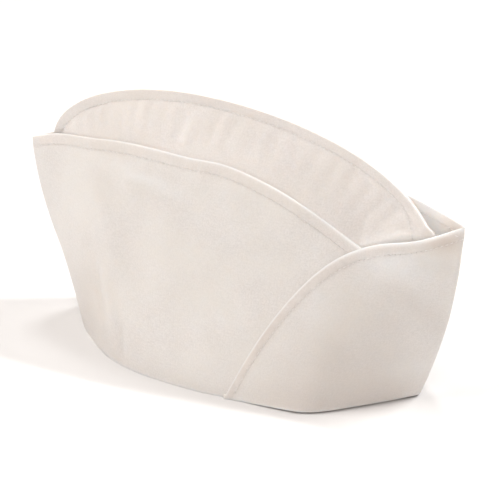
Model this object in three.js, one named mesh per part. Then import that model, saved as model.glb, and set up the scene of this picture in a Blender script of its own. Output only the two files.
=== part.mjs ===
// Soda fountain cap of cotton cloth, standing open on its rim.
// Two crown panels are sewn together along the ridge. A turned-up cuff of two pieces stands round them.
// The left cuff wraps round the front, and its rounded end lies over the right cuff as a flap.
// Millimetres. +X is the front of the cap, +Y is the wearer's left, +Z is up, and the rim stands on z = 0.
// A place along a side of the cap runs from -1 at the back crease to 1 at the front crease.
import * as THREE from 'three';

// Cloth
const CLOTH = 1.6;
const GAP = 0.3;
const LAP_GAP = 0.5;
const COTTON_COLOUR = 0xeae1d8;
const COTTON_ROUGHNESS = 0.95;

// Rim: the oval on which the crown stands inside the cuff
const RIM_BACK = -117;
const RIM_FRONT = 115;
const RIM_HALF_WIDTH = 64.5;
const RIM_POWER = 3;

// Soft corners and hollows of the rim, which fade out up the wall
const RIM_FOLDS = [
  { place: -0.88, spread: 0.1, depth: 6 },
  { place: 0.3, spread: 0.16, depth: -3 },
  { place: 0.66, spread: 0.14, depth: 6 },
];
const FOLD_HEIGHT = 75;
const FOLD_END_POWER = 8;

// Cuff wall at the height of its corners: longer than the rim and much narrower
const CORNER_HEIGHT = 108;
const BACK_FLARE = 41.5;
const BACK_FLARE_POWER = 1.8;
const FRONT_FLARE = 21.5;
const FRONT_FLARE_POWER = 2;
const CUFF_TOP_HALF_WIDTH = 22;
const CUFF_TOP_POWER = 2;
const CREASE_MITRE = 1.6;

// Top edge of the cuffs: a crest, and how far it falls at a given distance from the crest
const CREST_HEIGHT = 122.5;
const CREST_PLACE = 0;
const BACK_FALL = { depth: 16.7, reach: 1, power: 3 };
const RIGHT_FRONT_FALL = { depth: 30.5, reach: 0.65, power: 1.8 };
const LEFT_FRONT_FALL = { depth: 12.5, reach: 1, power: 3.4 };
const RIGHT_CUFF_END = 0.95;

// Flap: the end of the left cuff on the wearer's right, measured in places past the front crease
const FLAP_REACH = 0.778;
const FLAP_HEIGHT = 98.5;
const FLAP_POWER = 3.5;
const FLAP_ROUND = 0.84;
const FLAP_PEAK = 11.5;
const FLAP_PEAK_REACH = 0.22;
const FLAP_PEAK_POWER = 1.9;
const FLAP_END_HEIGHT = 6;
const LAP_START = 0.55;

// Crown: the ridge is two quarter ellipses that meet at its crest
const RIDGE_BACK = { x: -142.5, z: 107 };
const RIDGE_CREST = { x: -30, z: 155.2 };
const RIDGE_FRONT = { x: 123.5, z: 94 };
const RIDGE_CREST_SHARE = 0.4;
const RIDGE_MARGIN = 6;
const CROWN_POWER = 1.03;
const CROWN_END_PLACE = 0.99;
const CROWN_LEAN = 0.5;

// Mesh steps
const CUFF_ROWS = 8;
const SIDE_COLUMNS = 44;
const FLAP_COLUMNS = 22;
const CROWN_ROWS = 9;
const CROWN_COLUMNS = 40;

const LEFT = 1;
const RIGHT = -1;
const { lerp, smoothstep } = THREE.MathUtils;

// Sideways bulge of the rim's soft folds at a place and a height
function foldBulge(place, z) {
  const fade = Math.max(0, 1 - z / FOLD_HEIGHT) ** 2;
  const ends = 1 - Math.abs(place) ** FOLD_END_POWER;
  const bulge = RIM_FOLDS.reduce((sum, fold) => {
    const distance = (place - fold.place) / fold.spread;
    return sum + fold.depth * Math.exp(-distance * distance);
  }, 0);
  return bulge * fade * ends;
}

// Level section of the cuff wall, moved outward by an offset with its creases mitred
function wallSection(z, offset) {
  const rise = z / CORNER_HEIGHT;
  const below = Math.max(0, 1 - rise);
  const back = RIM_BACK - BACK_FLARE * (1 - below ** BACK_FLARE_POWER);
  const front = RIM_FRONT + FRONT_FLARE * (1 - below ** FRONT_FLARE_POWER);
  const halfWidth = lerp(RIM_HALF_WIDTH, CUFF_TOP_HALF_WIDTH, rise);
  const power = lerp(RIM_POWER, CUFF_TOP_POWER, rise);
  const endSlope = (2 * power * halfWidth) / (front - back);
  const mitre = offset * Math.min(CREASE_MITRE, Math.hypot(1, 1 / endSlope));
  return { back: back - mitre, front: front + mitre, halfWidth: halfWidth + offset, power };
}

// Distance of a section from the middle plane, without the folds
function plainWidth(section, place) {
  return section.halfWidth * (1 - Math.abs(place) ** section.power);
}

// Point of the wall on one side; the two cuffs stay half a gap clear of the middle plane at the back seam
function wallPoint(side, place, z, offset) {
  const section = wallSection(z, offset);
  const x = lerp(section.back, section.front, (place + 1) / 2);
  const seam = (GAP / 2) * Math.max(0, -place);
  const y = plainWidth(section, place) + foldBulge(place, z) + seam;
  return new THREE.Vector3(x, side * y, z);
}

// Height of a cuff's top edge at a place on its own side
function cuffEdge(place, frontFall) {
  const fall = place < CREST_PLACE ? BACK_FALL : frontFall;
  const distance = Math.abs(place - CREST_PLACE) / fall.reach;
  return CREST_HEIGHT - fall.depth * distance ** fall.power;
}

// Height of the flap's rounded edge at a distance past the front crease
function flapEdge(distance) {
  const share = Math.min(1, distance / FLAP_REACH);
  const rounded = FLAP_HEIGHT * (1 - share ** FLAP_POWER) ** (1 / FLAP_ROUND);
  const peak = FLAP_PEAK * Math.max(0, 1 - distance / FLAP_PEAK_REACH) ** FLAP_PEAK_POWER;
  return Math.max(FLAP_END_HEIGHT, rounded + peak);
}

// Columns of a cuff: the side, place, height and offset from the crown at each step along the strip
function rightCuffColumns() {
  return Array.from({ length: SIDE_COLUMNS + 1 }, (_, step) => {
    const place = lerp(-1, RIGHT_CUFF_END, step / SIDE_COLUMNS);
    return { side: RIGHT, place, height: cuffEdge(place, RIGHT_FRONT_FALL), offset: 0 };
  });
}

function leftCuffColumns() {
  const lap = CLOTH + LAP_GAP;
  const sideColumns = Array.from({ length: SIDE_COLUMNS }, (_, step) => {
    const place = lerp(-1, 1, step / SIDE_COLUMNS);
    const offset = lap * smoothstep(place, LAP_START, 1);
    return { side: LEFT, place, height: cuffEdge(place, LEFT_FRONT_FALL), offset };
  });
  const flapColumns = Array.from({ length: FLAP_COLUMNS + 1 }, (_, step) => {
    const distance = (FLAP_REACH * step) / FLAP_COLUMNS;
    return { side: RIGHT, place: 1 - distance, height: flapEdge(distance), offset: lap };
  });
  return [...sideColumns, ...flapColumns];
}

// One face of a cuff as rows of points from the rim up to the top edge
function cuffFace(columns, depth) {
  return Array.from({ length: CUFF_ROWS + 1 }, (_, row) => columns.map((column) => {
    const z = (column.height * row) / CUFF_ROWS;
    return wallPoint(column.side, column.place, z, column.offset + depth);
  }));
}

// Point of the crown's ridge at a share of its length
function ridgePoint(share) {
  const onBack = share < RIDGE_CREST_SHARE;
  const span = onBack ? RIDGE_CREST_SHARE : 1 - RIDGE_CREST_SHARE;
  const angle = (Math.abs(share - RIDGE_CREST_SHARE) / span) * (Math.PI / 2);
  const end = onBack ? RIDGE_BACK : RIDGE_FRONT;
  const x = lerp(RIDGE_CREST.x, end.x, Math.sin(angle));
  const z = lerp(end.z, RIDGE_CREST.z, Math.cos(angle));
  return { x, z };
}

// Outer face of a crown panel as rows of points from the rim up to the ridge
function crownFace(side) {
  const rim = wallSection(0, -LAP_GAP);
  const marginWidth = CLOTH + GAP / 2;
  const columns = Array.from({ length: CROWN_COLUMNS + 1 }, (_, step) => {
    const share = step / CROWN_COLUMNS;
    const top = ridgePoint(share);
    const level = (top.x - RIDGE_BACK.x) / (RIDGE_FRONT.x - RIDGE_BACK.x);
    const place = CROWN_END_PLACE * (2 * lerp(level, share, CROWN_LEAN) - 1);
    const foot = lerp(rim.back, rim.front, (place + 1) / 2);
    return { top, foot, place, width: plainWidth(rim, place) };
  });
  return Array.from({ length: CROWN_ROWS + 2 }, (_, row) => columns.map(({ top, foot, place, width }) => {
    const stitch = 1 - RIDGE_MARGIN / top.z;
    const climb = Math.min(1, row / CROWN_ROWS);
    const share = row > CROWN_ROWS ? 1 : climb * stitch;
    const z = top.z * share;
    const y = lerp(width, marginWidth, climb ** CROWN_POWER) + foldBulge(place, z);
    return new THREE.Vector3(lerp(foot, top.x, share), side * y, z);
  }));
}

// The face that lies one cloth thickness inside another; the bottom row stays level
function insideFace(face, side) {
  const lastRow = face.length - 1;
  const lastColumn = face[0].length - 1;
  return face.map((points, row) => points.map((point, column) => {
    const before = points[Math.max(0, column - 1)];
    const after = points[Math.min(lastColumn, column + 1)];
    const below = face[Math.max(0, row - 1)][column];
    const above = face[Math.min(lastRow, row + 1)][column];
    const along = new THREE.Vector3().subVectors(after, before);
    const up = new THREE.Vector3().subVectors(above, below);
    const inward = new THREE.Vector3().crossVectors(along, up).multiplyScalar(side);
    inward.z = row === 0 ? 0 : inward.z;
    return point.clone().addScaledVector(inward.normalize(), CLOTH);
  }));
}

// Closed sheet between an outer and an inner face, wound so that its faces point outward
function sheetGeometry(outer, inner) {
  const rows = outer.length - 1;
  const columns = outer[0].length - 1;
  const points = [...outer.flat(), ...inner.flat()];
  const at = (layer, row, column) => (layer * (rows + 1) + row) * (columns + 1) + column;
  const triangles = [];
  const quad = (a, b, c, d) => triangles.push([a, b, c], [a, c, d]);
  for (let row = 0; row < rows; row += 1) {
    for (let column = 0; column < columns; column += 1) {
      quad(at(0, row, column), at(0, row, column + 1), at(0, row + 1, column + 1), at(0, row + 1, column));
      quad(at(1, row, column), at(1, row + 1, column), at(1, row + 1, column + 1), at(1, row, column + 1));
    }
    quad(at(0, row, 0), at(0, row + 1, 0), at(1, row + 1, 0), at(1, row, 0));
    quad(at(0, row, columns), at(1, row, columns), at(1, row + 1, columns), at(0, row + 1, columns));
  }
  for (let column = 0; column < columns; column += 1) {
    quad(at(0, 0, column), at(1, 0, column), at(1, 0, column + 1), at(0, 0, column + 1));
    quad(at(0, rows, column), at(0, rows, column + 1), at(1, rows, column + 1), at(1, rows, column));
  }
  const volume = triangles.reduce((sum, [a, b, c]) => {
    const normal = new THREE.Vector3().crossVectors(points[b], points[c]);
    return sum + points[a].dot(normal);
  }, 0);
  const wound = volume < 0 ? triangles.map(([a, b, c]) => [a, c, b]) : triangles;
  const geometry = new THREE.BufferGeometry().setFromPoints(points);
  geometry.setIndex(wound.flat());
  geometry.computeVertexNormals();
  return geometry;
}

function clothMesh(name, geometry) {
  const material = new THREE.MeshStandardMaterial({
    name: `${name}_cotton`,
    color: COTTON_COLOUR,
    roughness: COTTON_ROUGHNESS,
    metalness: 0,
  });
  const mesh = new THREE.Mesh(geometry, material);
  mesh.name = name;
  return mesh;
}

function crownPanel(name, side) {
  const face = crownFace(side);
  return clothMesh(name, sheetGeometry(face, insideFace(face, side)));
}

function cuffPanel(name, columns) {
  return clothMesh(name, sheetGeometry(cuffFace(columns, CLOTH), cuffFace(columns, 0)));
}

const cap = new THREE.Group();
cap.name = 'soda_fountain_cap';
cap.add(crownPanel('crown_left', LEFT));
cap.add(crownPanel('crown_right', RIGHT));
cap.add(cuffPanel('cuff_left', leftCuffColumns()));
cap.add(cuffPanel('cuff_right', rightCuffColumns()));

// The origin is under the middle of the cap
const middle = new THREE.Box3().setFromObject(cap).getCenter(new THREE.Vector3());
cap.position.set(-middle.x, -middle.y, 0);

export default cap;
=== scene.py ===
"""Soda fountain cap: the cloth, the stitching and the studio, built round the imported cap.

Sizes are in metres. +X is the front of the cap, +Y is the wearer's left and +Z is up.
A place along a side of the cap runs from -1 at the back crease to 1 at the front crease.
"""
import logging
import math
from abc import ABC, abstractmethod
from dataclasses import dataclass, field
from enum import Enum
from typing import Any, ClassVar, Union

import bpy
import numpy as np
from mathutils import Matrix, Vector
from mathutils.bvhtree import BVHTree


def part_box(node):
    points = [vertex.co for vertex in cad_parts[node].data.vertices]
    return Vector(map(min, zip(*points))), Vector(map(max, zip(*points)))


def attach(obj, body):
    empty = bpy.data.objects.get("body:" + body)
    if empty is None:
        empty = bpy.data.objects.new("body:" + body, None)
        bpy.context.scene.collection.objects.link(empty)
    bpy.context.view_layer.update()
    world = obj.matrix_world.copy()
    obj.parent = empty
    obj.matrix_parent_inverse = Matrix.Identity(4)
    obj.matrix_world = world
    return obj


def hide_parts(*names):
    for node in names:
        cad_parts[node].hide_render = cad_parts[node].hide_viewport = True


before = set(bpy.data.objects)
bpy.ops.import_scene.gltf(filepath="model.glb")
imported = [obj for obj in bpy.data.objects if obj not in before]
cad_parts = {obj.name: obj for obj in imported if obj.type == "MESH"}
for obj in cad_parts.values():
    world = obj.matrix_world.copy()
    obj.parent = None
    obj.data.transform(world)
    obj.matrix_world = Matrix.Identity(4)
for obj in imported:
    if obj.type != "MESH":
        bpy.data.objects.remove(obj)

LOG = logging.getLogger("cap")
MM = 0.001
BODY = "root"
# Mesh attribute of the painted highlight: near-white colour where edges and patches catch the light.
PAINTED_HIGHLIGHT = "painted_highlight"
# Mesh attribute of the hem's darkening: its two layers' tone with painted shade.
HEM = "hem_band"
# Mesh attribute of the painted shade: darker cloth where folds, corners and the foot of the wall lie in
# shade.
PAINTED_SHADE = "painted_shade"
PATH_STEP = 0.5 * MM
GRID_EDGE = 0.001
WARM_WHITE = (1.0, 0.98, 0.953)
Array = np.ndarray
Thing = bpy.types.Object
Material = bpy.types.Material
Span = tuple[float, float]
Triple = tuple[float, float, float]
Colour = tuple[float, float, float, float]


class Side(Enum):
    """Side of the cap, as the sign of its Y."""

    LEFT = 1
    RIGHT = -1


class Slot(Enum):
    """Material slots of the record."""

    CROWN = "crown_cloth"
    CUFF = "cuff_cloth"


def lerp(low: Any, high: Any, share: Any) -> Any:
    """Mixes two numbers or arrays by a share."""
    return low + (high - low) * share


def smoothstep(low: float, high: float, value: Any) -> Any:
    """Eases from 0 at low to 1 at high."""
    share = np.clip((value - low) / (high - low), 0.0, 1.0)
    return share * share * (3.0 - 2.0 * share)


def bell(distance: Any, reach: Any) -> Any:
    """Rounded bump of height 1 that dies away within a few reaches."""
    return np.exp(-((distance / reach) ** 2))


def grid_normals(points: Array) -> Array:
    """Unit normals of a grid of points.

    Args:
        points: Array of rows, columns and coordinates.

    Returns:
        Normals in an array of the same shape, from the columns' direction crossed with the rows'.
    """
    up = np.gradient(points, axis=0)
    along = np.gradient(points, axis=1)
    normals = np.cross(along, up)
    return normals / np.maximum(np.linalg.norm(normals, axis=2, keepdims=True), 1e-12)


def path_lengths(points: Array) -> Array:
    """Distance along a path at each of its points."""
    steps = np.linalg.norm(np.diff(points, axis=0), axis=1)
    return np.concatenate([[0.0], np.cumsum(steps)])


def even_path(points: Array, step: float) -> Array:
    """Spaces the points of a path evenly.

    Args:
        points: Points of the path.
        step: Distance between the new points.

    Returns:
        Points on the same path.
    """
    lengths = path_lengths(points)
    at = np.arange(0.0, lengths[-1], step)
    return np.stack([np.interp(at, lengths, column) for column in points.T], axis=-1)


def inward_of(path: Array) -> Array:
    """Unit directions to the right of a flat path: into the cloth, for an edge that runs to the front."""
    step = np.gradient(path, axis=0) @ [[0.0, -1.0], [1.0, 0.0]]
    return step / np.linalg.norm(step, axis=1, keepdims=True)


def distance_to_path(points: Array, path: Array) -> tuple[Array, Array]:
    """Nearest distance from flat points to a dense flat path.

    Args:
        points: Flat points, in an array whose last axis is two long.
        path: Points of the path, close together.

    Returns:
        The distance of each point, and how far along the path its nearest point lies.
    """
    flat = points.reshape(-1, 2)
    lengths = path_lengths(path)
    distances = np.empty(len(flat))
    runs = np.empty(len(flat))
    batch = 2000
    for start in range(0, len(flat), batch):
        part = flat[start:start + batch]
        gaps = np.linalg.norm(part[:, None, :] - path[None, :, :], axis=2)
        nearest = gaps.argmin(axis=1)
        distances[start:start + batch] = gaps[np.arange(len(part)), nearest]
        runs[start:start + batch] = lengths[nearest]
    shape = points.shape[:-1]
    return distances.reshape(shape), runs.reshape(shape)


def sheet_area(points: Array) -> float:
    """Area of a grid of points."""
    along = points[:-1, 1:] - points[:-1, :-1]
    up = points[1:, :-1] - points[:-1, :-1]
    return float(np.linalg.norm(np.cross(along, up), axis=2).sum())


@dataclass(frozen=True)
class Fold:
    """Soft corner or hollow of the rim."""

    place: float
    spread: float
    depth: float


@dataclass(frozen=True)
class Fall:
    """How a cuff's top edge falls away from its crest."""

    depth: float
    reach: float
    power: float


@dataclass(frozen=True)
class Dent:
    """Soft dent or bulge of a panel, with its middle measured from the middle of the rim."""

    x: float
    z: float
    reach_x: float
    reach_z: float
    depth: float
    lean: float = 0.0

    def at(self, x: Array, z: Array) -> Array:
        """Depth of the dent at places on the panel."""
        up = z - self.z
        return self.depth * bell(x - self.x - self.lean * up, self.reach_x) * bell(up, self.reach_z)


def relief(*rows: tuple[float, ...]) -> tuple[Dent, ...]:
    """Dents from rows of X, Z, reach along X, reach along Z and depth in millimetres, and of lean."""
    return tuple(Dent(*(size * MM for size in row[:5]), *row[5:]) for row in rows)


def marks(*rows: tuple[float, ...]) -> tuple[Dent, ...]:
    """Marks from rows of X, Z, reach along X and reach along Z in millimetres, and of strength and lean."""
    return tuple(Dent(*(size * MM for size in row[:4]), *row[4:]) for row in rows)


def depth_at(dents: tuple[Dent, ...], x: Array, z: Array) -> Array:
    """Depth of all dents or marks together at places on the panel."""
    return sum((dent.at(x, z) for dent in dents), np.zeros_like(z))


NEAR_FOLDS = relief(
    (-76, 100, 16, 8, 3.5, -2),
    (-86, 80, 9, 22, 2.5, -0.5),
    (-72, 66, 9, 24, 2.5, -0.45),
    (-78, 34, 4, 22, -1.6, -0.45),
    (-69, 34, 5, 22, 1.6, -0.45),
    (-52, 15, 3, 10, -1.2, -0.3),
)
FLAP_FOLDS = relief(
    (114, 82, 15, 7, 3),
    (94, 52, 18, 12, 3),
    (74, 34, 18, 16, 2.5),
)
CROWN_FOLDS = relief(
    (-40, 136, 3.5, 14, -1.5, 0.25),
    (-33, 134, 4, 14, 1.2, 0.25),
    (-18, 138, 3, 9, -1, 0.2),
    (-8, 136, 3, 9, -0.8, 0.2),
    (62, 118, 14, 10, -1, -0.8),
)
# Painted shade on the near cuff: its lower back corner, along its foot and patches near its back end.
NEAR_SHADE_MARKS = marks(
    (-92, 20, 22, 30, 0.4),
    (-62, 4, 16, 14, 0.2),
    (-20, 0, 70, 9, 0.08),
    (-90, 98, 14, 12, 0.16),
    (-70, 80, 20, 20, 0.06),
)
# Painted shade on the flap: below its top edge at the front corner, by the front crease, over its lower half
# and along its foot.
FLAP_SHADE_MARKS = marks(
    (133, 100, 9, 5.5, 0.5),
    (134, 86, 5, 12, 0.14),
    (88, 16, 34, 42, 0.36),
    (119, 63, 9, 14, 0.16, -0.8),
    (95, 51, 18, 6, 0.08),
    (60, 7, 18, 9, 0.2),
    (106, 7, 12, 9, 0.2),
)
# Painted shade on the crown near its back end.
CROWN_SHADE_MARKS = marks((-100, 128, 26, 14, 0.16))
# Painted highlights: near-white patches where the crests of the near cuff's and the flap's folds catch the
# light.
NEAR_HIGHLIGHT_MARKS = marks((-57, 104.5, 20, 4.5, 0.28, -5.6))
FLAP_HIGHLIGHT_MARKS = marks(
    (110, 86, 17, 6.5, 0.38),
    (69, 59, 12, 14, 0.12),
    (118, 22, 10, 8, 0.14),
)


@dataclass(frozen=True)
class ClothWaves:
    """Seeded soft waves that keep a cloth panel from lying dead flat."""

    seed: int
    height: float
    shortest: float
    longest: float
    count: int = 9

    def at(self, across: Array, up: Array) -> Array:
        """Height of the waves.

        Args:
            across: Places along the cloth.
            up: Places up the cloth.

        Returns:
            The height at each place.
        """
        draw = np.random.default_rng(self.seed)
        total = np.zeros(np.broadcast(across, up).shape)
        for _ in range(self.count):
            length = draw.uniform(self.shortest, self.longest)
            angle = draw.uniform(-0.25, 0.75) * math.pi
            phase = draw.uniform(0.0, 2.0 * math.pi)
            run = across * math.cos(angle) + up * math.sin(angle)
            total = total + np.sin(2.0 * math.pi * run / length + phase)
        return self.height * total / math.sqrt(self.count)


@dataclass(frozen=True)
class CapForm:
    """Sizes and curved surfaces of the cap, which follow its solids apart from a few loose ends."""

    cloth: float = 1.6 * MM
    gap: float = 0.3 * MM
    lap_gap: float = 0.5 * MM
    rim_back: float = -117.0 * MM
    rim_front: float = 115.0 * MM
    rim_half_width: float = 64.5 * MM
    rim_power: float = 3.0
    folds: tuple[Fold, ...] = (
        Fold(-0.88, 0.1, 6.0 * MM),
        Fold(0.3, 0.16, -3.0 * MM),
        Fold(0.66, 0.14, 6.0 * MM),
    )
    fold_height: float = 75.0 * MM
    fold_end_power: float = 8.0
    corner_height: float = 108.0 * MM
    back_flare: float = 41.5 * MM
    back_flare_power: float = 1.8
    front_flare: float = 21.5 * MM
    front_flare_power: float = 2.0
    cuff_top_half_width: float = 22.0 * MM
    cuff_top_power: float = 2.0
    crease_mitre: float = 1.6
    crest_height: float = 122.5 * MM
    back_fall: Fall = Fall(16.7 * MM, 1.0, 3.0)
    back_pinch: float = 0.45
    back_pinch_span: Span = (0.62, 0.95)
    back_pinch_rise: Span = (0.4, 1.0)
    right_front_fall: Fall = Fall(30.5 * MM, 0.65, 1.8)
    left_front_fall: Fall = Fall(12.5 * MM, 1.0, 3.8)
    right_cuff_end: float = 0.95
    flap_reach: float = 0.778
    flap_height: float = 98.5 * MM
    flap_power: float = 3.5
    flap_round: float = 0.84
    flap_peak: float = 11.5 * MM
    flap_peak_reach: float = 0.22
    flap_peak_power: float = 1.9
    flap_end_height: float = 2.5 * MM
    lap_start: float = 0.55
    lap_rise: float = 4.0 * MM
    ridge_back: Span = (-142.5 * MM, 107.0 * MM)
    ridge_crest: Span = (-30.0 * MM, 155.2 * MM)
    ridge_front: Span = (121.3 * MM, 93.0 * MM)
    ridge_crest_share: float = 0.4
    ridge_margin: float = 6.0 * MM
    crown_power: float = 1.03
    crown_end_place: float = 0.99
    crown_lean: float = 0.5

    @property
    def shift(self) -> float:
        """How far along X the middle of the rim lies from the frame's origin."""
        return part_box("crown_right")[0].x - self.ridge_back[0]

    def bulge(self, place: Array, height: Array) -> Array:
        """Sideways bulge of the rim's folds.

        Args:
            place: Place along the side.
            height: Height above the rim.

        Returns:
            How far the wall moves outward.
        """
        fade = np.maximum(0.0, 1.0 - height / self.fold_height) ** 2
        ends = 1.0 - np.abs(place) ** self.fold_end_power
        total = sum(fold.depth * bell(place - fold.place, fold.spread) for fold in self.folds)
        return total * fade * ends

    def section(self, height: Any, offset: Any) -> tuple[Any, Any, Any, Any]:
        """Level section of the cuff wall.

        Args:
            height: Height of the section above the rim.
            offset: How far the section lies outside the crown's foot.

        Returns:
            The section's back end, front end, half width and power.
        """
        rise = height / self.corner_height
        below = np.maximum(0.0, 1.0 - rise)
        back = self.rim_back - self.back_flare * (1.0 - below ** self.back_flare_power)
        front = self.rim_front + self.front_flare * (1.0 - below ** self.front_flare_power)
        half_width = lerp(self.rim_half_width, self.cuff_top_half_width, rise)
        power = lerp(self.rim_power, self.cuff_top_power, rise)
        end_slope = 2.0 * power * half_width / (front - back)
        mitre = offset * np.minimum(self.crease_mitre, np.hypot(1.0, 1.0 / end_slope))
        return back - mitre, front + mitre, half_width + offset, power

    def pinched(self, place: Any, height: Any) -> Any:
        """Share of the width that is left where the cuffs press together at the top of the back crease."""
        high = smoothstep(*self.back_pinch_rise, height / self.corner_height)
        return 1.0 - self.back_pinch * smoothstep(*self.back_pinch_span, -place) * high

    def wall(self, side: Any, place: Any, height: Any, offset: Any) -> Array:
        """Points of the cuff wall.

        Args:
            side: Sign of Y.
            place: Place along the side.
            height: Height above the rim.
            offset: How far the wall lies outside the crown's foot.

        Returns:
            Points in an array whose last axis is three long.
        """
        back, front, half_width, power = self.section(height, offset)
        x = lerp(back, front, (place + 1.0) / 2.0) + self.shift
        seam = self.gap / 2.0 * np.maximum(0.0, -place)
        level = half_width * (1.0 - np.abs(place) ** power) * self.pinched(place, height)
        width = level + self.bulge(place, height) + seam
        return np.stack(np.broadcast_arrays(x, side * width, height), axis=-1)

    def cuff_edge(self, place: Array, front_fall: Fall) -> Array:
        """Height of a cuff's top edge, which is highest at the middle of its side.

        Args:
            place: Places along the side.
            front_fall: How the edge falls to the front.

        Returns:
            The height at each place.
        """
        falls = [
            fall.depth * (np.abs(place) / fall.reach) ** fall.power
            for fall in (self.back_fall, front_fall)
        ]
        return self.crest_height - np.where(place < 0.0, *falls)

    def flap_edge(self, distance: Array) -> Array:
        """Height of the flap's rounded edge.

        Args:
            distance: Distances past the front crease, in places.

        Returns:
            The height at each distance.
        """
        share = np.minimum(1.0, distance / self.flap_reach)
        rounded = self.flap_height * (1.0 - share ** self.flap_power) ** (1.0 / self.flap_round)
        nearness = np.maximum(0.0, 1.0 - distance / self.flap_peak_reach)
        peak = self.flap_peak * nearness ** self.flap_peak_power
        return np.maximum(self.flap_end_height, rounded + peak)

    @property
    def lap(self) -> float:
        """How far the flap lies outside the cuff under it."""
        return self.cloth + self.lap_gap

    def place_at(self, x: Array, height: Array) -> Array:
        """Place along a side at an X that is measured from the middle of the rim."""
        back, front, _, _ = self.section(height, 0.0)
        return np.clip(2.0 * (x - back) / (front - back) - 1.0, -1.0, 1.0)

    def pocket(self, side: Side, x: Array, height: Array) -> tuple[Array, Array]:
        """Room for the crown between the cuffs.

        Args:
            side: Side of the cap.
            x: Places measured from the middle of the rim.
            height: Heights above the rim.

        Returns:
            The height of the cuff's edge, and half the width between the cuffs up to that edge.
        """
        place = self.place_at(x, np.minimum(height, self.corner_height))
        if side is Side.LEFT:
            edge = self.cuff_edge(place, self.left_front_fall)
            offset = self.lap * smoothstep(self.lap_start, 1.0, place)
        else:
            under = self.cuff_edge(place, self.right_front_fall)
            edge = np.maximum(under, self.flap_edge(np.minimum(1.0 - place, self.flap_reach)))
            offset = self.lap * smoothstep(0.0, self.lap_rise, np.minimum(height, edge) - under)
        low = np.minimum(height, edge)
        _, _, half_width, power = self.section(low, offset)
        level = half_width * (1.0 - np.abs(self.place_at(x, low)) ** power) * self.pinched(place, low)
        return edge, level + self.bulge(place, low)

    def ridge(self, share: Array) -> Array:
        """Line of the ridge.

        Args:
            share: Shares of its length.

        Returns:
            Points as X and Z.
        """
        on_back = share < self.ridge_crest_share
        span = np.where(on_back, self.ridge_crest_share, 1.0 - self.ridge_crest_share)
        angle = np.abs(share - self.ridge_crest_share) / span * (math.pi / 2.0)
        end_x = np.where(on_back, self.ridge_back[0], self.ridge_front[0])
        end_z = np.where(on_back, self.ridge_back[1], self.ridge_front[1])
        x = lerp(self.ridge_crest[0], end_x, np.sin(angle))
        z = lerp(end_z, self.ridge_crest[1], np.cos(angle))
        return np.stack([x, z], axis=-1)


Number = Union["Value", float]


@dataclass
class Value:
    """A shader socket that takes Python's operators."""

    graph: "ShaderGraph"
    socket: Any

    def _math(self, operation: str, *others: Number) -> "Value":
        """Adds a Math node for this value and others."""
        return self.graph.add("ShaderNodeMath", {"operation": operation}, dict(enumerate((self, *others))))

    def __add__(self, other: Number) -> "Value":
        """Sum."""
        return self._math("ADD", other)

    def __mul__(self, other: Number) -> "Value":
        """Product."""
        return self._math("MULTIPLY", other)

    def sine(self) -> "Value":
        """Sine of an angle in radians."""
        return self._math("SINE")

    def spread(self, low: float, high: float) -> "Value":
        """This value spread from low and high to 0 and 1, and kept between them."""
        inputs = {"Value": self, "From Min": low, "From Max": high}
        return self.graph.add("ShaderNodeMapRange", {"clamp": True}, inputs)


@dataclass
class ShaderGraph:
    """Node tree of one material."""

    name: str
    material: Material = field(init=False)

    def __post_init__(self) -> None:
        """Makes the material."""
        self.material = bpy.data.materials.new(self.name)
        self.material.use_nodes = True

    def add(self, kind: str, settings: dict[str, Any], inputs: dict[Any, Any], output: Any = 0) -> Value:
        """Adds a node.

        Args:
            kind: Type name of the node.
            settings: Attributes that are set before the sockets.
            inputs: Values or links of its sockets, by name or number.
            output: Name or number of the socket that is handed back.

        Returns:
            The wanted output as a value.
        """
        node = self.material.node_tree.nodes.new(kind)
        for name, setting in settings.items():
            setattr(node, name, setting)
        self.feed(node, inputs)
        return Value(self, node.outputs[output])

    def feed(self, node: bpy.types.Node, inputs: dict[Any, Any]) -> None:
        """Sets or links a node's sockets.

        Args:
            node: The node.
            inputs: Values or links, by name or number.
        """
        for name, value in inputs.items():
            if isinstance(value, Value):
                self.material.node_tree.links.new(value.socket, node.inputs[name])
            else:
                node.inputs[name].default_value = value

    def attribute(self, name: str) -> Value:
        """Value of a mesh attribute."""
        return self.add("ShaderNodeAttribute", {"attribute_name": name}, {}, "Fac")

    def noise(self, vector: Value, size: float, detail: float) -> Value:
        """Soft noise with features of a size."""
        inputs = {"Vector": vector, "Scale": 1.0 / size, "Detail": detail}
        return self.add("ShaderNodeTexNoise", {}, inputs)

    def stretched(self, vector: Value, scale: Triple) -> Value:
        """Coordinates scaled along each axis."""
        return self.add("ShaderNodeMapping", {}, {"Vector": vector, "Scale": scale})

    def mix(self, share: Value, low: Any, high: Any) -> Value:
        """Mixes two colours by a value."""
        return self.add("ShaderNodeMix", {"data_type": "RGBA"}, {0: share, 6: low, 7: high}, 2)

    def dress(self, inputs: dict[str, Any]) -> Material:
        """Sets the surface shader's sockets and hands the material back."""
        self.feed(self.material.node_tree.nodes["Principled BSDF"], inputs)
        return self.material


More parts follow.
